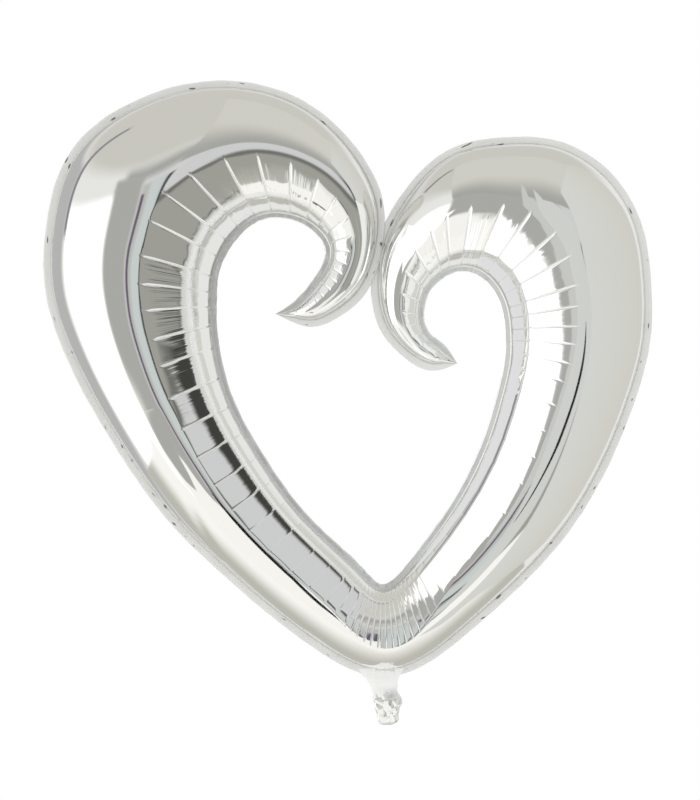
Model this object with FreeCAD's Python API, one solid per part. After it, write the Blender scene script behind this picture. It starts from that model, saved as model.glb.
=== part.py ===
"""An open heart-shaped foil balloon, about 0.9 m wide and 0.97 m high when inflated.

It is one curled tube, made of a front and a rear foil sheet that are welded together along a flat border.
The tube starts in a hook, goes over the big left lobe, down to the point of the heart, up the right side
and over the smaller right lobe into a second hook. Below the point is the filling tail, with a flat
self-sealing valve of two thin films inside it.

The frame: +Z up, +X to the right seen from the front, the front faces -Y, and the weld is the plane Y = 0.
The origin is at the neck, where the balloon is tied and where its tail folds.
"""

import FreeCAD, Part
import math
import os

# ---- Driving dimensions, in millimetres ----
FILM = 1.0  # thickness that stands for the foil, which is really about 0.04
SEAM_OUTER = 12.0  # flat welded border along the heart's outer edge
SEAM_INNER = 9.0  # and along its inner edge
ROUNDNESS = 0.48  # tube's depth in front of the weld, over its width between the welds
POINT_ROUNDNESS = 0.58  # the same at the point of the heart, where both arms run together
HORN = 2.0  # width of the tube where it ends in a hook's tip
HOLLOW_FROM = 24.0  # tube's width from which it is hollow

THROAT_TOP = 46.0  # height at which the throat opens into the tube
THROAT_BOTTOM = 3.2  # its lower end, just above the fold
THROAT_WIDTH = 40.0  # outer width at its lower end
THROAT_TOP_WIDTH = 66.0  # and where it opens
THROAT_DEPTH = 3.0  # half depth at its lower end
THROAT_TOP_DEPTH = 13.0  # and where it opens

TAIL_TOP = -1.5
TAIL_LENGTH = 50.0
TAIL_TOP_WIDTH = 43.0
TAIL_WIDTH = 46.0
TAIL_END_WIDTH = 40.0
TAIL_SHIFT = 5.0  # how far the tail's end leans to +X
TAIL_DEPTH = 2.1  # half thickness of the tail at the fold and its waist
TAIL_END_DEPTH = 6.0  # half thickness where the films are gathered

VALVE_FILM = 0.6  # thickness that stands for the valve's film, which is really about 0.05
VALVE_GAP = 0.2  # from the weld plane to each valve film
VALVE_WIDTH = 28.0
LIP_BOTTOM = 5.0
LIP_TOP = 118.0
LIP_TOP_WIDTH = 34.0
CHANNEL_SHORT = 4.0  # the valve's lower end stops this far above the tail's

# Ribs across the flat heart, from the left hook's tip to the right hook's tip:
# x and z of the film's outer edge, then x and z of its inner edge.
POINT_RIB = (-7, 20, -3, 159)
LEFT_RIBS = [
    (-123, 75, -36, 186),
    (-234, 165, -119, 266),
    (-326, 255, -182, 353),
    (-411, 375, -234, 455),
    (-476, 495, -252, 552),
    (-507, 585, -252, 585),
    (-507, 705, -249, 623),
    (-470, 810, -234, 660),
    (-381, 881, -210, 689),
    (-251, 914, -176, 707),
    (-125, 885, -138, 704),
    (-30, 795, -107, 687),
    (-2, 728, -95, 673),
    (-5, 655, -90, 659),
    (-28, 597, -93, 641),
    (-67, 561, -109, 614),
    (-111, 545, -134, 585),
]
LEFT_TIP = (-164, 564)
RIGHT_RIBS = [
    (128, 89, 45, 204),
    (212, 165, 96, 275),
    (288, 255, 141, 360),
    (339, 345, 164, 429),
    (375, 435, 179, 494),
    (398, 525, 180, 533),
    (399, 615, 177, 563),
    (378, 717, 168, 590),
    (323, 790, 155, 609),
    (255, 825, 140, 621),
    (180, 829, 122, 627),
    (101, 813, 102, 625),
    (30, 750, 83, 614),
    (-11, 675, 68, 598),
    (-21, 600, 60, 575),
    (-8, 543, 60, 552),
    (30, 498, 72, 531),
    (75, 479, 92, 515),
]
RIGHT_TIP = (108, 490)

POINT_INDEX = len(LEFT_RIBS) + 1  # place of the point's rib among all the tube's ribs
ARC_STEPS = 12  # spans of the curve across a rib


def vec(x, z, y=0.0):
    return FreeCAD.Vector(x, y, z)


def rib_welds(rib):
    """The outer and the inner weld of a rib, inside the film's edges by the seams."""
    outer = vec(rib[0], rib[1])
    inner = vec(rib[2], rib[3])
    across = (inner - outer).normalize()
    return outer + across * SEAM_OUTER, inner - across * SEAM_INNER


def tip_rib(tip, rib):
    """A very narrow pair of welds short of a hook's tip, which ends the tube."""
    outer, inner = rib_welds(rib)
    point = vec(*tip)
    middle = (outer + inner) * 0.5
    inward = (middle - point).normalize()
    end = point + inward * SEAM_OUTER
    half = (inner - outer).normalize() * (HORN / 2)
    return end - half, end + half


def tube_welds():
    """Every rib's pair of welds, from the left hook's tip to the right hook's tip."""
    welds = [tip_rib(LEFT_TIP, LEFT_RIBS[-1])]
    welds += [rib_welds(rib) for rib in reversed(LEFT_RIBS)]
    welds.append(rib_welds(POINT_RIB))
    welds += [rib_welds(rib) for rib in RIGHT_RIBS]
    welds.append(tip_rib(RIGHT_TIP, RIGHT_RIBS[-1]))
    return welds


def half_ring(outer, inner, depth, wall):
    """A closed wire: half an ellipse from weld to weld in front of the weld plane, closed by straight lines.

    With a wall the ellipse is that much smaller, and the lines pass behind the plane, so that it cuts clean.
    """
    across = (inner - outer).normalize()
    start = outer + across * wall
    end = inner - across * wall
    middle = (start + end) * 0.5
    radius = (start - end) * 0.5
    points = []
    for step in range(ARC_STEPS + 1):
        angle = math.pi * step / ARC_STEPS
        points.append(middle + radius * math.cos(angle) - vec(0, 0, (depth - wall) * math.sin(angle)))
    curve = Part.BSplineCurve()
    curve.interpolate(points)
    if not wall:
        return Part.Wire([curve.toShape(), Part.makeLine(end, start)])
    shift = vec(0, 0, 2 * wall)
    lines = Part.makePolygon([end, end + shift, start + shift, start])
    return Part.Wire([curve.toShape()] + lines.Edges)


def half_tube(wall):
    """The tube in front of the weld plane. With a wall it is the hollow inside the film."""
    wires = []
    for index, (outer, inner) in enumerate(tube_welds()):
        width = (inner - outer).Length
        if wall and width < HOLLOW_FROM:
            continue
        roundness = POINT_ROUNDNESS if index == POINT_INDEX else ROUNDNESS
        wires.append(half_ring(outer, inner, width * roundness, wall))
    return Part.makeLoft(wires, True, False)


def half_border(ribs, tip):
    """The flat film of one arm, edge to edge: its rim is what stays flat outside the tube."""
    outer_points = [vec(*POINT_RIB[:2])] + [vec(*rib[:2]) for rib in ribs] + [vec(*tip)]
    inner_points = [vec(*tip)] + [vec(*rib[2:]) for rib in reversed(ribs)] + [vec(*POINT_RIB[2:])]
    edges = []
    for points in (outer_points, inner_points):
        curve = Part.BSplineCurve()
        curve.interpolate(points)
        edges.append(curve.toShape())
    edges.append(Part.makeLine(inner_points[-1], outer_points[0]))
    face = Part.Face(Part.Wire(edges))
    return face.extrude(vec(0, 0, -FILM))


def flat_loft(levels):
    """A front film lofted straight between levels: (z, centre x, width, near and far distance from the weld)."""
    wires = []
    for z, centre, width, near, far in levels:
        corners = [
            vec(centre - width / 2, z, -near),
            vec(centre + width / 2, z, -near),
            vec(centre + width / 2, z, -far),
            vec(centre - width / 2, z, -far),
        ]
        wires.append(Part.makePolygon(corners + corners[:1]))
    return Part.makeLoft(wires, True, True)


def throat(wall, near, spare):
    """The short neck between the fold and the tube. With a wall it is the space inside it, a bit longer."""
    bottom = (THROAT_BOTTOM - spare, 0, THROAT_WIDTH - 2 * wall, near, THROAT_DEPTH - wall)
    top = (THROAT_TOP + spare, 0, THROAT_TOP_WIDTH - 2 * wall, near, THROAT_TOP_DEPTH - wall)
    return flat_loft([bottom, top])


def front_sheet():
    """The front foil sheet: the half tube, its flat welded border and its half of the throat, all one film."""
    film = half_tube(0)
    film = film.fuse(half_border(LEFT_RIBS, LEFT_TIP))
    film = film.fuse(half_border(RIGHT_RIBS, RIGHT_TIP))
    film = film.fuse(throat(0, 0, 0))
    film = film.cut(half_tube(FILM))
    return film.cut(throat(FILM, -2 * FILM, FILM))


def behind(shape):
    """The rear film of a pair: the front one mirrored in the weld plane."""
    return shape.mirror(FreeCAD.Vector(0, 0, 0), FreeCAD.Vector(0, 1, 0))


def tail_film():
    """The front sheet's filling tail, flat at the fold and gathered thick at its end."""
    near = VALVE_GAP + VALVE_FILM + VALVE_GAP
    top = (TAIL_TOP, 0, TAIL_TOP_WIDTH, near, TAIL_DEPTH)
    waist = (TAIL_TOP - TAIL_LENGTH / 4, TAIL_SHIFT / 4, TAIL_WIDTH, near, TAIL_DEPTH)
    end = (TAIL_TOP - TAIL_LENGTH, TAIL_SHIFT, TAIL_END_WIDTH, near, TAIL_END_DEPTH)
    return flat_loft([top, waist, end])


def valve_film(top, bottom, shift):
    """A front valve film between two (height, width) levels, its lower end shifted to +X."""
    far = VALVE_GAP + VALVE_FILM
    return flat_loft([(top[0], 0, top[1], VALVE_GAP, far), (bottom[0], shift, bottom[1], VALVE_GAP, far)])


os.makedirs("parts", exist_ok=True)
channel_end = TAIL_TOP - TAIL_LENGTH + CHANNEL_SHORT
front_panel = front_sheet()
tail_front_film = tail_film()
valve_channel_front = valve_film((TAIL_TOP, VALVE_WIDTH), (channel_end, VALVE_WIDTH), TAIL_SHIFT)
valve_lip_front = valve_film((LIP_TOP, LIP_TOP_WIDTH), (LIP_BOTTOM, VALVE_WIDTH), 0)
nodes = {
    "front_panel": front_panel,
    "rear_panel": behind(front_panel),
    "tail_front_film": tail_front_film,
    "tail_rear_film": behind(tail_front_film),
    "valve_channel_front": valve_channel_front,
    "valve_channel_rear": behind(valve_channel_front),
    "valve_lip_front": valve_lip_front,
    "valve_lip_rear": behind(valve_lip_front),
}
for name, shape in nodes.items():
    shape.exportStep(f"parts/{name}.step")
    box = shape.BoundBox
    print(
        f"{name}: {len(shape.Solids)} solid, valid {shape.isValid()}, {shape.Volume / 1000:.1f} cm3,"
        f" {box.XLength:.0f} x {box.YLength:.0f} x {box.ZLength:.0f} mm"
    )
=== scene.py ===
"""The looks of an open heart-shaped foil balloon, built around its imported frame.

The balloon is one curled tube of mirror foil, a front and a rear sheet welded along flat borders. Its outer
half is smooth. Its inner half is gathered into pleats, and the film between two pleats lies straight.
"""

import math

import bmesh
import bpy
import numpy as np
from bpy.props import FloatProperty, FloatVectorProperty, IntProperty, PointerProperty
from bpy.types import Operator, Panel, PropertyGroup
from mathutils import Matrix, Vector, noise


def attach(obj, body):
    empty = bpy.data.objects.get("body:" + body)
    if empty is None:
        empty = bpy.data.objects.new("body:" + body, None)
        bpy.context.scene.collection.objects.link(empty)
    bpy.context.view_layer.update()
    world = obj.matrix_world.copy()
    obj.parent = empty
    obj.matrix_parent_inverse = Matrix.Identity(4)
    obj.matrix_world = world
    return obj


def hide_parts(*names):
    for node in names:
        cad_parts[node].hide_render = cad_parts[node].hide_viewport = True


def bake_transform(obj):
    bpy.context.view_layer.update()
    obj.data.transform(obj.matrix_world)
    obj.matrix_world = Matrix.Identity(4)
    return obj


bl_info = {
    "name": "Foil heart balloon",
    "version": (1, 0, 0),
    "blender": (4, 5, 0),
    "location": "View3D > Sidebar > Balloon",
    "description": "Pleated foil sheets, welded borders, filling tail and valve of an open heart balloon",
    "category": "Object",
}

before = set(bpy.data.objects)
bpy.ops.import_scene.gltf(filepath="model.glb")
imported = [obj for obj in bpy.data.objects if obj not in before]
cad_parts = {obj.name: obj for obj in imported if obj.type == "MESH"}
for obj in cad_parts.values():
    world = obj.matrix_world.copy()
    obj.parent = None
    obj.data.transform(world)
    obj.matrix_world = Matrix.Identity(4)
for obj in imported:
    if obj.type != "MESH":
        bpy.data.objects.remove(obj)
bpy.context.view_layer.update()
MM = 0.001

# Ribs across the flat heart in millimetres: the film's outer edge x, z and its inner edge x, z.
# They run from the left hook's tip over the left lobe to the point, and on to the right hook's tip.
RIBS = [
    (-164, 564, -164, 564),
    (-111, 545, -134, 585),
    (-67, 561, -109, 614),
    (-28, 597, -93, 641),
    (-5, 655, -90, 659),
    (-2, 728, -95, 673),
    (-30, 795, -107, 687),
    (-125, 885, -138, 704),
    (-251, 914, -176, 707),
    (-381, 881, -210, 689),
    (-470, 810, -234, 660),
    (-507, 705, -249, 623),
    (-507, 585, -252, 585),
    (-476, 495, -252, 552),
    (-411, 375, -234, 455),
    (-326, 255, -182, 353),
    (-234, 165, -119, 266),
    (-123, 75, -36, 186),
    (-7, 20, -3, 159),
    (128, 89, 45, 204),
    (212, 165, 96, 275),
    (288, 255, 141, 360),
    (339, 345, 164, 429),
    (375, 435, 179, 494),
    (398, 525, 180, 533),
    (399, 615, 177, 563),
    (378, 717, 168, 590),
    (323, 790, 155, 609),
    (255, 825, 140, 621),
    (180, 829, 122, 627),
    (101, 813, 102, 625),
    (30, 750, 83, 614),
    (-11, 675, 68, 598),
    (-21, 600, 60, 575),
    (-8, 543, 60, 552),
    (30, 498, 72, 531),
    (75, 479, 92, 515),
    (108, 490, 108, 490),
]
POINT_RIB = 18  # the rib at the point of the heart

# How the film is gathered along the tube: a place in metres from the left hook's tip, the distance
# between pleats there, how deep they are, and the turn in degrees at which they begin. The heart's point
# is at 1.38.
GATHERS = [
    (0.00, 0.010, 0.7, 93),
    (0.10, 0.014, 0.8, 93),
    (0.21, 0.035, 1.0, 95),
    (0.34, 0.050, 1.0, 98),
    (0.58, 0.056, 1.0, 101),
    (0.74, 0.050, 1.0, 101),
    (0.80, 0.042, 0.9, 101),
    (0.92, 0.048, 0.7, 97),
    (1.05, 0.048, 0.4, 91),
    (1.16, 0.045, 0.12, 87),
    (1.27, 0.030, 0.05, 85),
    (1.315, 0.012, 0.5, 79),
    (1.34, 0.010, 1.0, 71),
    (1.43, 0.010, 1.0, 69),
    (1.46, 0.014, 0.4, 80),
    (1.50, 0.036, 0.06, 91),
    (1.60, 0.045, 0.04, 94),
    (1.78, 0.040, 0.08, 95),
    (1.86, 0.032, 0.25, 94),
    (1.93, 0.030, 0.6, 93),
    (2.05, 0.046, 1.0, 92),
    (2.16, 0.046, 1.0, 92),
    (2.25, 0.036, 1.0, 93),
    (2.31, 0.034, 1.0, 95),
    (2.42, 0.028, 1.0, 95),
    (2.50, 0.014, 0.8, 93),
    (2.56, 0.010, 0.7, 93),
]

# Long buckles in the smooth half: place and turn of both ends, width and depth in metres.
BUCKLES = [
    (1.02, 64, 1.15, 22, 0.006, 0.0014),
    (0.90, 80, 1.06, 74, 0.006, 0.0016),
    (1.24, 30, 1.35, 12, 0.005, 0.0008),
    (2.02, 24, 2.16, 30, 0.010, 0.0008),
]

# The two sides of the weld plane, as the sign of Y.
FRONT = -1
REAR = 1

# Flat width and length of the films in metres, before the balloon is filled.
VALVE_FLAT = (0.028, 0.043)  # a valve film in the tail
VALVE_NARROWS = 0.012  # by so much

POINT_REACH = 0.075  # how far along the tube, in metres, the heart's point makes it rounder
UNEVEN_PITCH = (0.85, 1.15)  # least and most of a pleat's pitch, as a share of the table's
UNEVEN_PLEAT = (0.7, 1.2)  # and of its depth
CROWD = 0.55  # how much closer together the rows are beside a pleat, from 0 to 1
FACET_RISE = 6  # turn in degrees over which the smooth crown becomes flat facets
HEM = (140, 156)  # turns over which the loose film inside the fold begins
FILM = 0.0003  # thickness of the flat films that are shown solid, in metres
NECK_ROWS = 110
NECK_COLUMNS = 96


def smoothstep(low, high, value):
    """0 below low, 1 above high, and a smooth rise between them. It also falls, with low above high."""
    t = np.clip((value - low) / (high - low), 0.0, 1.0)
    return t * t * (3.0 - 2.0 * t)


class Spline:
    """A natural cubic spline through points at given places along it."""

    def __init__(self, places, points):
        self.places = np.asarray(places, float)
        self.points = np.asarray(points, float)
        count = len(self.places)
        gaps = np.diff(self.places)
        slopes = np.diff(self.points, axis=0) / gaps[:, None]
        matrix = np.eye(count)
        right = np.zeros_like(self.points)
        for i in range(1, count - 1):
            matrix[i, i - 1] = gaps[i - 1]
            matrix[i, i] = 2.0 * (gaps[i - 1] + gaps[i])
            matrix[i, i + 1] = gaps[i]
            right[i] = 6.0 * (slopes[i] - slopes[i - 1])
        self.bends = np.linalg.solve(matrix, right)

    def __call__(self, at):
        at = np.asarray(at, float)
        i = np.clip(np.searchsorted(self.places, at) - 1, 0, len(self.places) - 2)
        gap = (self.places[i + 1] - self.places[i])[..., None]
        a = (self.places[i + 1] - at)[..., None] / gap
        b = 1.0 - a
        bend = (a**3 - a) * self.bends[i] + (b**3 - b) * self.bends[i + 1]
        return a * self.points[i] + b * self.points[i + 1] + bend * gap**2 / 6.0


class Tube:
    """Where the film of the inflated tube lies. A place along it is in metres from the left hook's tip."""

    def __init__(self, shape):
        self.shape = shape
        ribs = np.array(RIBS, float) * MM
        middles = (ribs[:, :2] + ribs[:, 2:]) / 2
        steps = np.linalg.norm(np.diff(middles, axis=0), axis=1)
        self.places = np.concatenate([[0.0], np.cumsum(steps)])
        self.length = self.places[-1]
        self.point = self.places[POINT_RIB]
        self.edges = Spline(self.places, ribs)

    def rails(self, place):
        """The film's two edges and its two welds at a place, each as x and z."""
        both = self.edges(place)
        outer, inner = both[..., :2], both[..., 2:]
        across = outer - inner
        width = np.linalg.norm(across, axis=-1, keepdims=True)
        across = across / np.maximum(width, 1e-9)
        seams = self.shape.outer_seam + self.shape.inner_seam
        share = np.clip(width / (seams * 1.6), 0.0, 1.0)
        outer_weld = outer - across * self.shape.outer_seam * share
        inner_weld = inner + across * self.shape.inner_seam * share
        return outer, inner, outer_weld, inner_weld

    def surface(self, place, turn, side):
        """Points and outward normals of the smooth tube. turn is 0 at the outer weld and pi at the inner."""
        _, _, outer, inner = self.rails(place)
        middle = (outer + inner) / 2
        half = (outer - inner) / 2
        radius = np.maximum(np.linalg.norm(half, axis=-1), 1e-6)
        along = half / radius[..., None]
        near_point = np.exp(-(((place - self.point) / POINT_REACH) ** 2))
        share = self.shape.roundness + (self.shape.point_roundness - self.shape.roundness) * near_point
        depth = 2 * radius * share
        cos, sin = np.cos(turn), np.sin(turn)
        flat = middle + along * (radius * cos)[..., None]
        points = np.stack([flat[..., 0], side * depth * sin, flat[..., 1]], axis=-1)
        lean = along * (cos / radius)[..., None]
        normals = np.stack([lean[..., 0], side * sin / depth, lean[..., 1]], axis=-1)
        normals /= np.maximum(np.linalg.norm(normals, axis=-1, keepdims=True), 1e-9)
        return points, normals

    def width(self, place):
        _, _, outer, inner = self.rails(place)
        return np.linalg.norm(outer - inner, axis=-1)


class Pleats:
    """Where the pleats lie, and the rows of mesh between them, close together beside each pleat."""

    def __init__(self, tube, seed):
        random = np.random.default_rng(seed)
        shape = tube.shape
        table = np.array(GATHERS)
        stops = [0.0]
        while stops[-1] < tube.length:
            pitch = np.interp(stops[-1], table[:, 0], table[:, 1])
            stops.append(stops[-1] + pitch * random.uniform(*UNEVEN_PITCH))
        stops = np.array(stops) * (tube.length / stops[-1])
        rows, first, last = [], [], []
        for start, end in zip(stops[:-1], stops[1:]):
            count = max(9, round((end - start) / shape.row_pitch))
            part = np.arange(count) / count
            part = part - CROWD * np.sin(2 * math.pi * part) / (2 * math.pi)
            rows.append(start + part * (end - start))
            first.append(np.full(count, start))
            last.append(np.full(count, end))
        self.rows = np.append(np.concatenate(rows), tube.length)
        self.first = np.append(np.concatenate(first), stops[-2])
        self.last = np.append(np.concatenate(last), stops[-1])
        self.part = (self.rows - self.first) / (self.last - self.first)
        self.gather = np.interp(self.rows, table[:, 0], table[:, 2])
        self.crown = Spline(table[:, 0], table[:, 3:])(np.minimum(self.rows, table[-1, 0]))[:, 0]
        self.pitch = self.last - self.first
        self.strength = random.uniform(*UNEVEN_PLEAT, len(stops))
        index = np.searchsorted(stops, self.rows, side="right") - 1
        self.index = np.clip(index, 0, len(stops) - 2)

    def nearest(self):
        """For each row, the distance to the nearer pleat and that pleat's own strength."""
        back = self.rows - self.first
        ahead = self.last - self.rows
        nearer = np.where(back < ahead, self.strength[self.index], self.strength[self.index + 1])
        return np.minimum(back, ahead), nearer


def row_noise(rows, wave, seed):
    """A smooth random value for each row, about -1 to 1, that changes over about one wave of the film."""
    random = np.random.default_rng(seed)
    count = int(rows[-1] / wave) + 4
    values = random.uniform(-1.0, 1.0, count)
    at = rows / wave
    i = at.astype(int)
    t = at - i
    t = t * t * (3 - 2 * t)
    return values[i] * (1 - t) + values[i + 1] * t


def shade_smooth(mesh):
    mesh.polygons.foreach_set("use_smooth", np.ones(len(mesh.polygons), bool))


def new_object(name, bm):
    """A scene object from a bmesh, with its place in its mesh."""
    mesh = bpy.data.meshes.new(name)
    bm.to_mesh(mesh)
    bm.free()
    piece = bpy.data.objects.new(name, mesh)
    bpy.context.scene.collection.objects.link(piece)
    return piece


def thicken(piece):
    """Gives a flat film its thickness, half on each side."""
    skin = piece.modifiers.new("film", "SOLIDIFY")
    skin.thickness = FILM
    skin.offset = 0.0


def film_grid(rows, columns):
    """A flat grid of film, and each vertex's row and column in it."""
    bm = bmesh.new()
    bmesh.ops.create_grid(bm, x_segments=rows - 1, y_segments=columns - 1, size=0.5)
    bm.verts.ensure_lookup_table()
    flat = np.array([v.co for v in bm.verts])
    row = np.rint((flat[:, 0] + 0.5) * (rows - 1)).astype(int)
    column = np.rint((flat[:, 1] + 0.5) * (columns - 1)).astype(int)
    return bm, row, column


def place_film(bm, points, along, across, gather=0.0, worn=0.0):
    """Moves the film's vertices to their places, and keeps what its material needs to know of each.

    A UV map says where they are along and across the film. Two attributes say how far the film is gathered
    there, and how far it is worn by a fold.
    """
    bm.verts.index_update()
    layer = bm.loops.layers.uv.new("film")
    gathers = bm.verts.layers.float.new("gather")
    wears = bm.verts.layers.float.new("worn")
    gather, worn = np.broadcast_to(gather, len(points)), np.broadcast_to(worn, len(points))
    for i, vertex in enumerate(bm.verts):
        vertex.co = points[i]
        vertex[gathers] = gather[i]
        vertex[wears] = worn[i]
    for face in bm.faces:
        for loop in face.loops:
            i = loop.vert.index
            loop[layer].uv = (along[i], across[i])
    bmesh.ops.remove_doubles(bm, verts=bm.verts, dist=0.00001)


def turn_columns():
    """Turns across the tube in degrees, close together at the outer weld, at the crown and at the fold."""
    stops = ((0, 6, 3), (6, 64, 11), (64, 82, 6), (82, 106, 12), (106, 130, 6), (130, 146, 7), (146, 172, 8))
    parts = [np.linspace(start, end, count, endpoint=False) for start, end, count in stops]
    return np.concatenate(parts + [np.linspace(172, 180, 4)])


def build_panel(shape, name, side, seed):
    """One foil sheet's inflated half tube, with its pleats, tucks and fine creases."""
    tube = Tube(shape)
    pleats = Pleats(tube, shape.seed)
    columns = turn_columns()
    bm, row, column = film_grid(len(pleats.rows), len(columns))
    degrees = columns[column]
    turn = np.radians(degrees)
    place = pleats.rows[row]
    smooth, normals = tube.surface(place, turn, side)
    start, _ = tube.surface(pleats.first[row], turn, side)
    end, _ = tube.surface(pleats.last[row], turn, side)
    part = pleats.part[row][:, None]
    straight = start * (1 - part) + end * part
    crown = pleats.crown[row]
    facet = smoothstep(0, FACET_RISE, degrees - crown) * smoothstep(179, 162, degrees)
    points = smooth + (straight - smooth) * facet[:, None]

    gather = pleats.gather[row]
    flat_from = np.radians(crown + 2)
    flat_to = np.full(len(row), math.radians(shape.fold))
    for low, high, share in ((flat_from, flat_to, shape.flatten), (flat_to, math.pi + 0 * flat_to, 0.15)):
        bottom = tube.surface(place, low, side)[0]
        top = tube.surface(place, high, side)[0]
        part = np.clip((turn - low) / (high - low), 0.0, 1.0)
        inside = (part > 0) & (part < 1)
        chord = bottom * (1 - part)[:, None] + top * part[:, None]
        points = points + (chord - smooth) * (share * inside)[:, None]
    size = np.clip(tube.width(place) / 0.2, 0.2, 1.0)
    reach, strength = pleats.nearest()
    narrow = np.clip(pleats.pitch / 0.03, 0.4, 1.0)
    groove = np.clip(1 - reach / (narrow * shape.tuck_width / 2), 0, 1) ** 1.4 * strength * narrow
    tuck = smoothstep(-1, 8, degrees - crown) * smoothstep(179, 168, degrees)
    inward = shape.tuck_depth * groove[row] * tuck * gather * np.sqrt(size)

    lip = np.sin(math.pi * pleats.part)[row] * np.exp(-(((degrees - crown - 7) / 4) ** 2))
    outward = shape.lip * lip * gather**4 * size
    bundle = np.clip(row_noise(pleats.rows, 0.02, seed + 1) + 0.35, 0, 1)
    fine = row_noise(pleats.rows, shape.crease_pitch, seed) * bundle
    coarse = row_noise(pleats.rows, shape.crease_pitch * 1.4, seed + 2)
    pucker = row_noise(pleats.rows, shape.crease_pitch * 1.4, seed + 3)
    drift = row_noise(pleats.rows, 0.03, seed + 4)
    on_tile = smoothstep(4 + 5 * drift[row], 22, degrees - crown) * smoothstep(140, 126, degrees)
    hem = smoothstep(*HEM, degrees) * smoothstep(180, 172, degrees)
    rim = smoothstep(0, 4, degrees) * smoothstep(26, 6, degrees)
    ripple = fine[row] * on_tile * gather + 1.6 * coarse[row] * hem * (0.25 + 0.75 * gather)
    ripple += 1.2 * pucker[row] * rim
    outward += shape.crease_depth * size * ripple
    radius = tube.width(place) / 2
    for first, low, last, high, width, depth in BUCKLES:
        run = np.clip((place - first) / (last - first), 0, 1)
        off = (degrees - low - (high - low) * run) * radius * math.pi / 180
        inward += depth * np.exp(-((off / width) ** 2)) * np.sin(math.pi * run) ** 0.8
    points = points + normals * (outward - inward)[:, None]
    line = np.clip(1.3 - reach / (0.0011 * narrow), 0, 1)[row] * smoothstep(0, 3, degrees - crown)
    line *= smoothstep(141, 137, degrees) * gather
    ridge = np.exp(-(((degrees - shape.fold) / 2.6) ** 2)) * 0.8 * smoothstep(1.4, 1.2, place)
    place_film(bm, points, place, degrees / 180, gather, np.maximum(line, ridge))
    bmesh.ops.recalc_face_normals(bm, faces=bm.faces)
    piece = new_object(name, bm)
    shade_smooth(piece.data)
    return piece


def build_border(shape, name, outer_side, seed):
    """A flat welded border, both sheets in one strip, crinkled towards its free edge."""
    tube = Tube(shape)
    rows = np.linspace(0, tube.length, shape.border_rows)
    columns = 5
    bm, row, column = film_grid(len(rows), columns)
    part = column / (columns - 1)
    outer, inner, outer_weld, inner_weld = tube.rails(rows)
    weld = outer_weld if outer_side else inner_weld
    edge = outer if outer_side else inner
    nick = (row_noise(rows, 0.013, seed + 4) + 0.4 * row_noise(rows, 0.005, seed + 5)) * shape.edge_nick
    reach = edge - weld
    reach = reach * (1 + nick / np.maximum(np.linalg.norm(reach, axis=1), 1e-4))[:, None]
    flat = weld[row] + reach[row] * part[:, None]
    wave = row_noise(rows, 0.016, seed) + 0.5 * row_noise(rows, 0.007, seed + 1)
    drift = row_noise(rows, 0.05, seed + 2)
    waviness = shape.border_wave if outer_side else 0.25 * shape.border_wave
    off = waviness * (wave[row] + 0.6 * drift[row]) * part**1.3
    if outer_side:
        # The two lobes' borders pass each other where they meet, one in front and one behind.
        side = np.where(rows[row] < tube.point, -1.0, 1.0)
        off = off + side * 0.001 * part * smoothstep(0.03, 0.0, np.abs(flat[:, 0] + 0.01))
    points = np.stack([flat[:, 0], off, flat[:, 1]], axis=1)
    place_film(bm, points, rows[row], part)
    bmesh.ops.recalc_face_normals(bm, faces=bm.faces)
    piece = new_object(name, bm)
    shade_smooth(piece.data)
    thicken(piece)
    return piece


# The neck and the tail: height, left and right edge and half thickness, all in millimetres.
NECK = [
    (33, -46, 28, 0.5),
    (25, -38, 24, 1.2),
    (16, -28, 20, 2.2),
    (7, -22, 19, 3.0),
    (-3, -19, 19, 3.4),
    (-10, -18, 23, 4.2),
    (-20, -16, 23, 5.4),
    (-30, -13, 20, 5.8),
    (-38, -11, 20, 6.0),
    (-45, -9, 21, 5.2),
    (-50, -6, 15, 3.6),
    (-52, -3, 10, 1.5),
]


def build_neck(shape, name):
    """The neck and the crumpled filling tail: both sheets, joined along their sides, in one flat tube."""
    table = np.array(NECK, float)[::-1] * MM
    heights = np.linspace(table[0, 0], table[-1, 0], NECK_ROWS)
    bm, row, column = film_grid(NECK_ROWS, NECK_COLUMNS + 1)
    angle = column / NECK_COLUMNS * 2 * math.pi
    profile = Spline(table[:, 0], table[:, 1:])(heights)
    left, right, depth = profile[row].T
    x = (left + right) / 2 + (right - left) / 2 * np.cos(angle)
    y = depth * np.sign(np.sin(angle)) * np.abs(np.sin(angle)) ** 0.8
    z = heights[row]
    crumple = smoothstep(0.002, -0.016, z)
    points = np.stack([x, y, z], axis=1)
    for i, point in enumerate(points):
        spot = Vector((point[0] * 95, point[1] * 60, point[2] * 70)) + Vector((3.1, 0.7, shape.seed))
        near = noise.voronoi(spot)[0]
        dent = min(near[1] - near[0], 0.6) - 0.3
        fold = noise.noise(spot * 0.45)
        push = crumple[i] * (0.0052 * fold + 0.0034 * dent)
        point[0] += push * math.cos(angle[i]) * 0.6
        point[1] += push * math.copysign(1.0, point[1]) if abs(math.sin(angle[i])) > 0.01 else 0.0
    place_film(bm, points, z, angle, worn=smoothstep(-0.01, 0.012, z))
    bmesh.ops.holes_fill(bm, edges=bm.edges)
    bmesh.ops.recalc_face_normals(bm, faces=bm.faces)
    piece = new_object(name, bm)
    shade_smooth(piece.data)
    return piece


def build_channel(name, side):
    """One valve film in the tail, narrower towards its gathered end."""
    rows, columns = 24, 7
    bm, row, column = film_grid(rows, columns)
    down = row / (rows - 1)
    across = column / (columns - 1)
    width, length = VALVE_FLAT
    x = (0.0025 + 0.004 * down) + (across - 0.5) * (width - VALVE_NARROWS * down)
    points = np.stack([x, np.full(len(x), side * 0.0005), -0.0015 - length * down], axis=1)
    place_film(bm, points, down, across)
    piece = new_object(name, bm)
    shade_smooth(piece.data)
    thicken(piece)
    return piece


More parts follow.
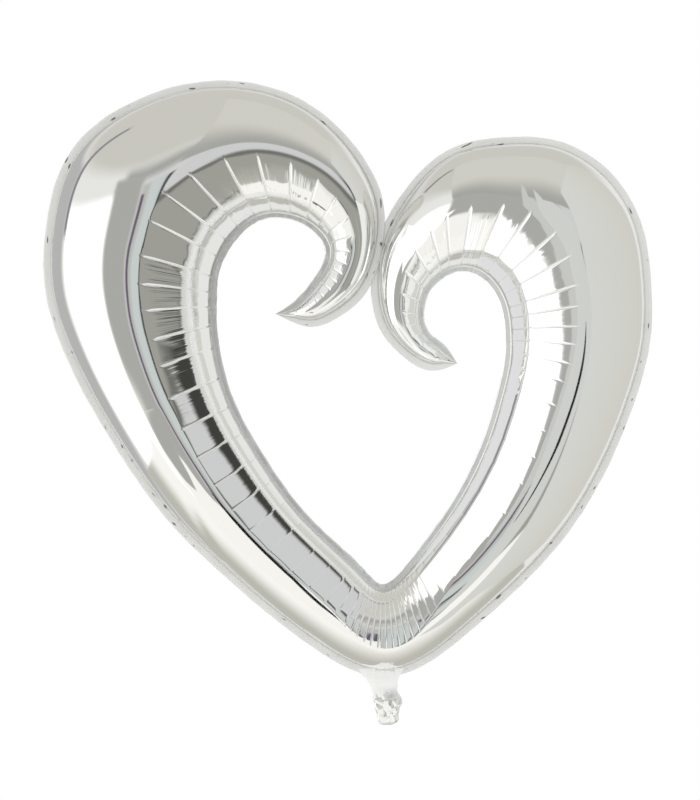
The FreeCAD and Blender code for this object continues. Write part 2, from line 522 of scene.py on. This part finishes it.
def node(tree, kind, **values):
    """A new shader node with its properties and inputs set."""
    made = tree.nodes.new(kind)
    for key, value in values.items():
        if hasattr(made, key):
            setattr(made, key, value)
        else:
            made.inputs[key.replace("_", " ")].default_value = value
    return made


def mix_colours(tree, factor, first, second):
    """A node's output that is one colour at 0 and the other at 1. A colour is a value or an output."""
    mix = node(tree, "ShaderNodeMix", data_type="RGBA")
    tree.links.new(factor, mix.inputs["Factor"])
    for socket, colour in ((mix.inputs[6], first), (mix.inputs[7], second)):
        if isinstance(colour, tuple):
            socket.default_value = (*colour, 1.0)
        else:
            tree.links.new(colour, socket)
    return mix.outputs[2]


def foil_material(finish, name, metallic, roughness, grain_size, grain_depth):
    """Metallised film: a mirror, dull where it is worn, with a fine grain."""
    material = bpy.data.materials.new(name)
    material.use_nodes = True
    tree = material.node_tree
    shader = tree.nodes["Principled BSDF"]
    shader.inputs["Base Color"].default_value = (*finish.silver, 1.0)
    place = node(tree, "ShaderNodeTexCoord")
    grain = node(tree, "ShaderNodeTexNoise", Scale=grain_size, Detail=3.0)
    tree.links.new(place.outputs["Object"], grain.inputs["Vector"])
    soft = node(tree, "ShaderNodeBump", Strength=grain_depth, Distance=0.001)
    tree.links.new(grain.outputs["Fac"], soft.inputs["Height"])
    tree.links.new(soft.outputs["Normal"], shader.inputs["Normal"])
    smear = node(tree, "ShaderNodeMapRange")
    smear.inputs["To Min"].default_value = roughness * 0.8
    smear.inputs["To Max"].default_value = roughness * 1.3
    tree.links.new(grain.outputs["Fac"], smear.inputs["Value"])
    worn = node(tree, "ShaderNodeAttribute", attribute_name="worn")
    dull = node(tree, "ShaderNodeMath", operation="MULTIPLY_ADD")
    tree.links.new(worn.outputs["Fac"], dull.inputs[0])
    dull.inputs[1].default_value = 0.55
    tree.links.new(smear.outputs["Result"], dull.inputs[2])
    tree.links.new(dull.outputs["Value"], shader.inputs["Roughness"])
    metal = node(tree, "ShaderNodeMapRange")
    metal.inputs["To Min"].default_value = metallic
    metal.inputs["To Max"].default_value = 0.15
    tree.links.new(worn.outputs["Fac"], metal.inputs["Value"])
    tree.links.new(metal.outputs["Result"], shader.inputs["Metallic"])
    return material


def add_hairlines(finish, material):
    """Gives a foil material the fine creases of the gathered half."""
    tree = material.node_tree
    bumps = [item for item in tree.nodes if item.bl_idname == "ShaderNodeBump"]
    tree.links.new(hairlines(finish, tree), bumps[0].inputs["Normal"])


def add_painted_dark_reflections(material):
    """Paints dark reflections into a border's base colour: sparse dark dashes that stand in for its crinkles
    mirroring the dark.
    """
    tree = material.node_tree
    shader = tree.nodes["Principled BSDF"]
    uv = node(tree, "ShaderNodeUVMap", uv_map="film")
    stretch = node(tree, "ShaderNodeMapping")
    stretch.inputs["Scale"].default_value = (60.0, 2.0, 1.0)
    tree.links.new(uv.outputs["UV"], stretch.inputs["Vector"])
    where = node(tree, "ShaderNodeTexNoise", Scale=1.0, Detail=1.0)
    tree.links.new(stretch.outputs["Vector"], where.inputs["Vector"])
    sparse = node(tree, "ShaderNodeMapRange", interpolation_type="SMOOTHSTEP")
    sparse.inputs["From Min"].default_value = 0.68
    sparse.inputs["From Max"].default_value = 0.74
    tree.links.new(where.outputs["Fac"], sparse.inputs["Value"])
    # Painted reflection: the base colour turns near black in sparse dashes, in place of dark surroundings
    # mirrored in the crinkles.
    colour = mix_colours(tree, sparse.outputs["Result"], (0.80, 0.80, 0.78), (0.15, 0.15, 0.16))
    tree.links.new(colour, shader.inputs["Base Color"])


def hairlines(finish, tree):
    """Fine creases across the film, in bundles, on the gathered half only."""
    uv = node(tree, "ShaderNodeUVMap", uv_map="film")
    height = None
    for scale, share in (((360.0, 3.0, 1.0), 1.0), ((150.0, 2.0, 1.0), 1.6)):
        stretch = node(tree, "ShaderNodeMapping")
        stretch.inputs["Scale"].default_value = scale
        tree.links.new(uv.outputs["UV"], stretch.inputs["Vector"])
        hairs = node(tree, "ShaderNodeTexNoise", Scale=1.0, Detail=1.0)
        tree.links.new(stretch.outputs["Vector"], hairs.inputs["Vector"])
        part = node(tree, "ShaderNodeMath", operation="MULTIPLY_ADD")
        tree.links.new(hairs.outputs["Fac"], part.inputs[0])
        part.inputs[1].default_value = share
        part.inputs[2].default_value = 0.0
        if height:
            tree.links.new(height, part.inputs[2])
        height = part.outputs["Value"]
    split = node(tree, "ShaderNodeSeparateXYZ")
    tree.links.new(uv.outputs["UV"], split.inputs["Vector"])
    gather = node(tree, "ShaderNodeAttribute", attribute_name="gather")
    masks = [gather.outputs["Fac"]]
    for low, high in ((0.56, 0.62), (1.0, 0.9)):
        edge = node(tree, "ShaderNodeMapRange", interpolation_type="SMOOTHSTEP")
        edge.inputs["From Min"].default_value = low
        edge.inputs["From Max"].default_value = high
        tree.links.new(split.outputs["Y"], edge.inputs["Value"])
        masks.append(edge.outputs["Result"])
    patches = node(tree, "ShaderNodeMapping")
    patches.inputs["Scale"].default_value = (26.0, 5.0, 1.0)
    tree.links.new(uv.outputs["UV"], patches.inputs["Vector"])
    where = node(tree, "ShaderNodeTexNoise", Scale=1.0, Detail=0.0)
    tree.links.new(patches.outputs["Vector"], where.inputs["Vector"])
    edge = node(tree, "ShaderNodeMapRange", interpolation_type="SMOOTHSTEP")
    edge.inputs["From Min"].default_value = 0.32
    edge.inputs["From Max"].default_value = 0.55
    tree.links.new(where.outputs["Fac"], edge.inputs["Value"])
    masks.append(edge.outputs["Result"])
    for mask in masks:
        part = node(tree, "ShaderNodeMath", operation="MULTIPLY")
        tree.links.new(height, part.inputs[0])
        tree.links.new(mask, part.inputs[1])
        height = part.outputs["Value"]
    bump = node(tree, "ShaderNodeBump", Strength=finish.hairline, Distance=0.0004)
    tree.links.new(height, bump.inputs["Height"])
    return bump.outputs["Normal"]


def valve_material(finish, name):
    """Thin clear polyethylene."""
    material = bpy.data.materials.new(name)
    material.use_nodes = True
    shader = material.node_tree.nodes["Principled BSDF"]
    shader.inputs["Base Color"].default_value = (*finish.film, 1.0)
    shader.inputs["Roughness"].default_value = 0.25
    shader.inputs["Alpha"].default_value = 0.5
    return material


class BalloonShape(PropertyGroup):
    """Sizes of the foil that a user may change, in metres."""

    outer_seam: FloatProperty(
        name="Outer seam", description="Width of the outer welded border", default=0.012, unit="LENGTH"
    )
    inner_seam: FloatProperty(
        name="Inner seam", description="Width of the inner welded border", default=0.009, unit="LENGTH"
    )
    roundness: FloatProperty(
        name="Roundness", description="Depth of one side over the tube's width", default=0.48
    )
    point_roundness: FloatProperty(
        name="Point roundness", description="The same at the point of the heart", default=0.58
    )
    row_pitch: FloatProperty(
        name="Row pitch", description="Mean length of one mesh row", default=0.0017, unit="LENGTH"
    )
    fold: FloatProperty(
        name="Fold", description="Turn in degrees of the fold inside the pleats", default=139.0
    )
    flatten: FloatProperty(
        name="Flatten", description="How flat the film is between the crown and the fold", default=0.5
    )
    tuck_depth: FloatProperty(
        name="Tuck depth", description="Depth of a pleat's fold", default=0.0014, unit="LENGTH"
    )
    tuck_width: FloatProperty(
        name="Tuck width", description="Width of a pleat's fold", default=0.0055, unit="LENGTH"
    )
    lip: FloatProperty(
        name="Lip", description="Height of the fold along the crown", default=0.0002, unit="LENGTH"
    )
    crease_depth: FloatProperty(
        name="Crease depth", description="Height of the fine creases", default=0.00014, unit="LENGTH"
    )
    crease_pitch: FloatProperty(
        name="Crease pitch", description="Distance between fine creases", default=0.006, unit="LENGTH"
    )
    border_wave: FloatProperty(
        name="Border wave", description="How far the free edge waves", default=0.0008, unit="LENGTH"
    )
    edge_nick: FloatProperty(
        name="Edge nick", description="Unevenness of the cut edge", default=0.0004, unit="LENGTH"
    )
    border_rows: IntProperty(name="Border rows", description="Mesh rows of a border", default=1400)
    sheet_area: FloatProperty(
        name="Sheet area", description="Film in one foil sheet", default=0.6, unit="AREA"
    )
    seed: IntProperty(name="Seed", description="Start of every random draw", default=7)


class FoilFinish(PropertyGroup):
    """Colours and gloss of the films."""

    silver: FloatVectorProperty(
        name="Silver", description="Colour of the foil", default=(0.93, 0.93, 0.92), subtype="COLOR"
    )
    gloss: FloatProperty(name="Gloss", description="Roughness of the foil", default=0.06)
    hairline: FloatProperty(name="Hairlines", description="Strength of the hairline creases", default=0.5)
    film: FloatVectorProperty(
        name="Valve film",
        description="Colour of the valve's film",
        default=(0.85, 0.87, 0.88),
        subtype="COLOR",
    )


def settings():
    return bpy.context.scene.balloon_shape, bpy.context.scene.foil_finish


class OBJECT_OT_balloon_sheets(Operator):
    """Adds the front and the rear foil sheet"""

    bl_idname = "object.balloon_sheets"
    bl_label = "Foil sheets"

    def execute(self, context):
        shape, finish = settings()
        foil = foil_material(finish, "silver_foil", 1.0, finish.gloss, 14.0, 0.06)
        add_hairlines(finish, foil)
        for name, node_name, side in (
            ("front_foil", "front_panel", FRONT),
            ("rear_foil", "rear_panel", REAR),
        ):
            piece = build_panel(shape, name, side, shape.seed + 10 + 10 * side)
            piece.data.materials.append(foil)
            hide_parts(node_name)
            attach(piece, "envelope")
        return {"FINISHED"}


class OBJECT_OT_balloon_borders(Operator):
    """Adds the welded borders along the heart's outer and inner edges"""

    bl_idname = "object.balloon_borders"
    bl_label = "Welded borders"

    def execute(self, context):
        shape, finish = settings()
        outer_foil = foil_material(finish, "outer_border_foil", 0.1, 0.4, 60.0, 0.05)
        # The outer border's base colour carries painted dark reflections, as sparse dark dashes.
        add_painted_dark_reflections(outer_foil)
        inner_foil = foil_material(finish, "inner_border_foil", 1.0, 0.2, 14.0, 0.06)
        for name, outer_side, seed, foil in (
            ("outer_border", True, 31, outer_foil),
            ("inner_border", False, 47, inner_foil),
        ):
            piece = build_border(shape, name, outer_side, seed)
            piece.data.materials.append(foil)
            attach(piece, "envelope")
        return {"FINISHED"}


class OBJECT_OT_balloon_tail(Operator):
    """Adds the neck and the crumpled filling tail"""

    bl_idname = "object.balloon_tail"
    bl_label = "Neck and tail"

    def execute(self, context):
        shape, finish = settings()
        piece = build_neck(shape, "tail_films")
        piece.data.materials.append(foil_material(finish, "tail_foil", 0.85, 0.14, 200.0, 0.25))
        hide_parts("tail_front_film", "tail_rear_film")
        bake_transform(piece)
        return {"FINISHED"}


class OBJECT_OT_balloon_valve(Operator):
    """Adds the valve's two clear films in the tail, and clears the two lips above them"""

    bl_idname = "object.balloon_valve"
    bl_label = "Valve films"

    def execute(self, context):
        _, finish = settings()
        film = valve_material(finish, "clear_film")
        for name, node_name, side in (
            ("channel_front", "valve_channel_front", FRONT),
            ("channel_rear", "valve_channel_rear", REAR),
        ):
            piece = build_channel(name, side)
            piece.data.materials.append(film)
            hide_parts(node_name)
            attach(piece, "tail")
        for node_name in ("valve_lip_front", "valve_lip_rear"):
            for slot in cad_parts[node_name].material_slots:
                slot.material = film
        return {"FINISHED"}


class SCENE_OT_balloon_stage(Operator):
    """Adds the camera, the studio's light and the pale floor"""

    bl_idname = "scene.balloon_stage"
    bl_label = "Stage"

    def execute(self, context):
        scene = context.scene
        camera = bpy.data.objects.new("camera", bpy.data.cameras.new("camera"))
        camera.data.lens = 105.0
        camera.data.sensor_width = 36.0
        camera.location = (-0.0525, -3.5, 0.435)
        camera.rotation_euler = (math.radians(90), 0.0, 0.0)
        scene.collection.objects.link(camera)
        scene.camera = camera
        scene.view_settings.view_transform = "Standard"
        build_world(scene)
        for name, (corners, *colours) in CARDS.items():
            card = flat_card(name, corners)
            card.visible_camera = False
            card.visible_shadow = False
            card.visible_diffuse = False
            card.data.materials.append(light_material(name, *colours))
        floor = disc("floor", 1.5, -0.55)
        floor.visible_glossy = False
        floor.data.materials.append(floor_material("floor_paper"))
        return {"FINISHED"}


class VIEW3D_PT_balloon(Panel):
    """Lists the balloon's pieces"""

    bl_label = "Foil balloon"
    bl_idname = "VIEW3D_PT_balloon"
    bl_space_type = "VIEW_3D"
    bl_region_type = "UI"
    bl_category = "Balloon"

    def draw(self, context):
        for operator in OPERATORS:
            self.layout.operator(operator.bl_idname)


# The studio as the foil sees it: the walls' colour, and patches on them with their first and last azimuth,
# lowest and highest elevation, softness (all in degrees) and colour. Azimuth 0 is behind the camera, 90 to
# the right and 180 behind the balloon. A later patch covers an earlier one.
WALLS = (0.84, 0.84, 0.82)
PATCHES = [
    (-400, 400, 33, 100, 9, (0.62, 0.61, 0.56)),
    (-28, 60, 20, 32, 6, (0.40, 0.40, 0.38)),
    (-45, 4, -80, -14, 6, (0.97, 0.96, 0.92)),
    (-38, -6, -27, 25, 3, (0.42, 0.42, 0.40)),
    (-6, 13, -24, 17, 3, (0.52, 0.52, 0.50)),
    (2, 13, -24, 17, 2, (0.60, 0.65, 0.64)),
    (-106, -38, -80, 13, 4, (1.4, 1.4, 1.38)),
    (-200, -112, -30, 30, 4, (0.48, 0.48, 0.48)),
    (-112, -106, 8, 60, 1.5, (0.25, 0.24, 0.27)),
    (-5, -2, -23, 8, 0.8, (0.12, 0.09, 0.15)),
    (14, 74, -85, -3, 3, (0.36, 0.36, 0.33)),
    (14, 74, -90, -42, 14, (0.54, 0.54, 0.50)),
    (14, 74, -5, 5, 3, (0.17, 0.17, 0.155)),
    (15, 50, 3, 58, 3, (0.64, 0.65, 0.65)),
    (50, 76, -1, 58, 3, (0.05, 0.05, 0.045)),
    (12.7, 15.2, -24, 16, 0.6, (0.04, 0.05, 0.05)),
    (77, 84, -60, 60, 1.5, (1.2, 1.2, 1.2)),
]

# Reflectors that only mirrors see: corners and colour. Some run from one colour at the front to another at
# the back, between two values of Y. They let light through from behind.
CARDS = {
    "right_card": (
        [(0.40, -0.37, -0.3), (0.40, -0.37, 1.6), (0.86, 0.55, 1.6), (0.86, 0.55, -0.3)],
        (0.69, 0.70, 0.67),
        (0.66, 0.65, 0.60),
        (-0.4, 0.2),
    ),
    "front_card": (
        [(0.20, -0.40, -0.3), (0.20, -0.40, 1.0), (0.70, -1.12, 1.0), (0.70, -1.12, -0.3)],
        (0.66, 0.67, 0.65),
    ),
    "upper_card": (
        [(-0.22, -0.47, 0.92), (-0.22, 0.1, 1.5), (0.8, 0.1, 1.5), (0.8, -0.47, 0.92)],
        (0.40, 0.40, 0.38),
        (0.66, 0.65, 0.60),
        (-0.46, -0.27),
    ),
    "strip_card": (
        [
            (0.135, -0.33, 0.50),
            (0.135, -0.33, 1.00),
            (0.232, -1.45, 1.00),
            (0.232, -1.45, 0.20),
            (0.123, -0.20, 0.20),
        ],
        (0.60, 0.61, 0.59),
    ),
    "lower_card": (
        [(-1.3, -0.8, -0.3), (0.7, -0.8, -0.3), (0.7, 0.6, -0.3), (-1.3, 0.6, -0.3)],
        (1.0, 0.99, 0.95),
        (0.52, 0.52, 0.47),
        (-0.4, 0.2),
    ),
    "left_card": (
        [(-0.25, -0.75, 0.2), (0.02, -0.05, 0.2), (0.02, -0.05, 0.7), (-0.25, -0.75, 0.7)],
        (1.2, 1.2, 1.2),
    ),
    "opening_card_left": (
        [(0.05, 0.6, 0.05), (0.0, 0.03, 0.05), (0.0, 0.03, 0.62), (0.05, 0.6, 0.62)],
        (0.78, 0.78, 0.79),
    ),
    "opening_card_right": (
        [(0.0, 0.03, 0.05), (0.05, 0.6, 0.05), (0.05, 0.6, 0.62), (0.0, 0.03, 0.62)],
        (0.78, 0.78, 0.79),
    ),
    "curl_card": (
        [(0.15, -0.10, 0.45), (0.15, -0.20, 0.45), (0.15, -0.20, 0.75), (0.15, -0.10, 0.75)],
        (0.9, 0.9, 0.88),
    ),
    "point_card": (
        [
            (-0.62, -0.5, -0.3),
            (-0.62, -0.5, 0.12),
            (-0.24, -0.5, 0.13),
            (-0.02, -0.5, 0.03),
            (-0.02, -0.5, -0.3),
        ],
        (0.98, 0.97, 0.93),
    ),
    "crown_strip": (
        [
            (-0.300, -0.37, 0.228),
            (-0.216, -0.37, 0.168),
            (-0.160, -0.37, 0.106),
            (-0.147, -0.37, 0.042),
            (-0.152, -0.37, 0.0),
            (-0.179, -0.37, 0.0),
            (-0.195, -0.37, 0.072),
            (-0.250, -0.37, 0.142),
        ],
        (0.01, 0.01, 0.012),
    ),
    "dark_strip": (
        [
            (0.342, -0.37, 0.52),
            (0.352, -0.37, 0.40),
            (0.324, -0.37, 0.30),
            (0.226, -0.37, 0.16),
            (0.218, -0.37, 0.16),
            (0.292, -0.37, 0.30),
            (0.326, -0.37, 0.40),
            (0.338, -0.37, 0.52),
        ],
        (0.01, 0.01, 0.012),
    ),
}


def flat_card(name, corners):
    bm = bmesh.new()
    bm.faces.new([bm.verts.new(corner) for corner in corners])
    return new_object(name, bm)


def disc(name, radius, height):
    bm = bmesh.new()
    bmesh.ops.create_circle(bm, cap_ends=True, segments=96, radius=radius)
    bmesh.ops.translate(bm, verts=bm.verts, vec=(0.0, 0.0, height))
    return new_object(name, bm)


def light_material(name, front, back=None, run=None):
    """Plain light from the front side alone. It may change to another colour over a run of Y."""
    material = bpy.data.materials.new(name)
    material.use_nodes = True
    tree = material.node_tree
    tree.nodes.clear()
    light = node(tree, "ShaderNodeEmission", Strength=1.0)
    light.inputs["Color"].default_value = (*front, 1.0)
    if back:
        place = node(tree, "ShaderNodeTexCoord")
        split = node(tree, "ShaderNodeSeparateXYZ")
        tree.links.new(place.outputs["Object"], split.inputs["Vector"])
        change = node(tree, "ShaderNodeMapRange", interpolation_type="SMOOTHSTEP")
        change.inputs["From Min"].default_value = run[0]
        change.inputs["From Max"].default_value = run[1]
        tree.links.new(split.outputs["Y"], change.inputs["Value"])
        tree.links.new(mix_colours(tree, change.outputs["Result"], front, back), light.inputs["Color"])
    side = node(tree, "ShaderNodeNewGeometry")
    through = node(tree, "ShaderNodeBsdfTransparent")
    either = node(tree, "ShaderNodeMixShader")
    tree.links.new(side.outputs["Backfacing"], either.inputs[0])
    tree.links.new(light.outputs["Emission"], either.inputs[1])
    tree.links.new(through.outputs["BSDF"], either.inputs[2])
    out = node(tree, "ShaderNodeOutputMaterial")
    tree.links.new(either.outputs["Shader"], out.inputs["Surface"])
    return material


def floor_material(name):
    material = bpy.data.materials.new(name)
    material.use_nodes = True
    shader = material.node_tree.nodes["Principled BSDF"]
    shader.inputs["Base Color"].default_value = (0.9, 0.9, 0.88, 1.0)
    shader.inputs["Roughness"].default_value = 0.8
    return material


def build_world(scene):
    """The studio all round, as a sky that only mirrors see. All else is in plain white light."""
    world = bpy.data.worlds.new("studio")
    scene.world = world
    world.use_nodes = True
    tree = world.node_tree
    tree.nodes.clear()
    place = node(tree, "ShaderNodeTexCoord")
    split = node(tree, "ShaderNodeSeparateXYZ")
    tree.links.new(place.outputs["Generated"], split.inputs["Vector"])
    away = node(tree, "ShaderNodeMath", operation="MULTIPLY")
    tree.links.new(split.outputs["Y"], away.inputs[0])
    away.inputs[1].default_value = -1.0
    azimuth = node(tree, "ShaderNodeMath", operation="ARCTAN2")
    tree.links.new(split.outputs["X"], azimuth.inputs[0])
    tree.links.new(away.outputs["Value"], azimuth.inputs[1])
    height = node(tree, "ShaderNodeMath", operation="ARCSINE")
    tree.links.new(split.outputs["Z"], height.inputs[0])

    def ramp(source, start, end):
        made = node(tree, "ShaderNodeMapRange", interpolation_type="SMOOTHSTEP")
        made.inputs["From Min"].default_value = math.radians(start)
        made.inputs["From Max"].default_value = math.radians(end)
        tree.links.new(source.outputs["Value"], made.inputs["Value"])
        return made.outputs["Result"]

    def times(a, b):
        made = node(tree, "ShaderNodeMath", operation="MULTIPLY")
        tree.links.new(a, made.inputs[0])
        tree.links.new(b, made.inputs[1])
        return made.outputs["Value"]

    sky = WALLS
    for left, right, low, high, soft, colour in PATCHES:
        inside = times(ramp(azimuth, left - soft, left + soft), ramp(azimuth, right + soft, right - soft))
        inside = times(inside, ramp(height, low - soft, low + soft))
        inside = times(inside, ramp(height, high + soft, high - soft))
        sky = mix_colours(tree, inside, sky, colour)
    seen = node(tree, "ShaderNodeLightPath")
    background = node(tree, "ShaderNodeBackground")
    sky = mix_colours(tree, seen.outputs["Is Glossy Ray"], (1.0, 1.0, 1.0), sky)
    tree.links.new(sky, background.inputs["Color"])
    out = node(tree, "ShaderNodeOutputWorld")
    tree.links.new(background.outputs["Background"], out.inputs["Surface"])


OPERATORS = (
    OBJECT_OT_balloon_sheets,
    OBJECT_OT_balloon_borders,
    OBJECT_OT_balloon_tail,
    OBJECT_OT_balloon_valve,
    SCENE_OT_balloon_stage,
)
CLASSES = (BalloonShape, FoilFinish, *OPERATORS, VIEW3D_PT_balloon)


def register():
    for item in CLASSES:
        bpy.utils.register_class(item)
    bpy.types.Scene.balloon_shape = PointerProperty(type=BalloonShape)
    bpy.types.Scene.foil_finish = PointerProperty(type=FoilFinish)


def unregister():
    del bpy.types.Scene.foil_finish
    del bpy.types.Scene.balloon_shape
    for item in reversed(CLASSES):
        bpy.utils.unregister_class(item)


def main():
    register()
    bpy.ops.object.balloon_borders()
    bpy.ops.object.balloon_sheets()
    bpy.ops.object.balloon_tail()
    bpy.ops.object.balloon_valve()
    bpy.ops.scene.balloon_stage()


if __name__ == "__main__":
    main()
